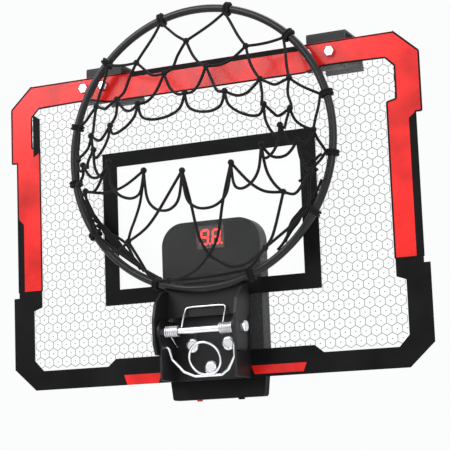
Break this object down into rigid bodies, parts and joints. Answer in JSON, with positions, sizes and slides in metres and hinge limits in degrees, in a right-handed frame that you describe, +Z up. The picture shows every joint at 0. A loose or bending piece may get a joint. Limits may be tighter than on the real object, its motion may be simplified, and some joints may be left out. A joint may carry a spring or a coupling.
{
  "type": "basketball hoop machine",
  "caption": "Over-the-door mini basketball hoop with clear backboard, folding sprung rim, cord net, score display box and door hooks.",
  "frame": {"origin": "front top edge of the door that the hooks hang on, midway between the hooks", "axes": "+X to the player's right, -Y out of the board towards the player, +Z up"},
  "size_m": [0.4, 0.127, 0.3506],
  "materials": {
    "clear_board": "clear polycarbonate with printed borders",
    "black_powder_coat": "black powder coat, fine texture",
    "ring_coat": "black gloss powder coat",
    "zinc_steel": "bright zinc plate",
    "spring_steel": "drawn spring wire",
    "hook_coat": "satin black powder coat",
    "foam": "closed-cell foam",
    "black_plastic": "moulded ABS, fine spark texture",
    "button_red": "moulded red",
    "window_red": "dark red tinted window",
    "led_module": "epoxy filled display",
    "circuit_green": "solder resist",
    "chip_black": "epoxy",
    "battery_wrap": "shrink wrap",
    "nickel": "nickel plate",
    "nylon": "natural nylon",
    "net_cord": "braided polyester cord",
    "rubber_black": "moulded rubber"
  },
  "bodies": {
    "board": {"backboard_panel": "clear_board", "left_hook": "hook_coat", "right_hook": "hook_coat", "hook_spacers": "black_plastic", "hook_bolts": "zinc_steel", "hook_foam": "foam", "door_pads": "foam", "rim_bracket": "black_powder_coat", "bracket_bolts": "zinc_steel", "bracket_nuts": "zinc_steel", "rim_bumpers": "rubber_black", "hinge_pin": "zinc_steel", "pin_cap": "zinc_steel", "pin_washers": "nylon", "torsion_spring": "spring_steel", "case_front": "black_plastic", "case_cover": "black_plastic", "case_screws": "zinc_steel", "battery_tray": "black_plastic", "batteries": "battery_wrap", "battery_contacts": "nickel", "display_window": "window_red", "digit_display": "led_module", "circuit_board": "circuit_green", "circuit_screws": "zinc_steel", "sound_chips": "chip_black", "speaker": "chip_black", "button_switch": "chip_black", "power_switch": "chip_black", "control_board": "circuit_green", "trigger_switch": "chip_black"},
    "rim": {"rim_yoke": "black_powder_coat", "rim_ring": "ring_coat", "net_top": "net_cord"},
    "net": {"net_bottom": "net_cord"},
    "trigger": {"trigger_lever": "spring_steel"},
    "reset_key": {"reset_button": "button_red"},
    "power_key": {"power_slider": "black_plastic"},
    "hatch": {"battery_hatch": "black_plastic"}
  },
  "joints": [
    {"name": "rim_fold", "type": "hinge", "parent": "board", "child": "rim", "pos_m": [0, -0.049, -0.257], "axis": [1, 0, 0], "range_deg": [0, 100], "deforming": ["torsion_spring"]},
    {"name": "net_hang", "type": "slide", "parent": "rim", "child": "net", "axis": [0, -0.7809, 0.6247], "range_m": [0, 0.107]},
    {"name": "trigger_swing", "type": "hinge", "parent": "board", "child": "trigger", "pos_m": [0, -0.047, -0.2705], "axis": [1, 0, 0], "range_deg": [-45, 0], "stiffness_Nm_per_rad": 0.02, "springref_deg": 17.19},
    {"name": "reset_press", "type": "slide", "parent": "board", "child": "reset_key", "axis": [0, 0, 1], "range_m": [0, 0.001], "stiffness_N_per_m": 200, "springref_m": -0.001},
    {"name": "power_slide", "type": "slide", "parent": "board", "child": "power_key", "axis": [1, 0, 0], "range_m": [0, 0.004]},
    {"name": "hatch_pull", "type": "slide", "parent": "board", "child": "hatch", "axis": [0, 1, 0], "range_m": [0, 0.015]}
  ],
  "couplings": [
    {"joint": "net_hang", "follows": "rim_fold", "m_per_rad": 0.06115}
  ]
}
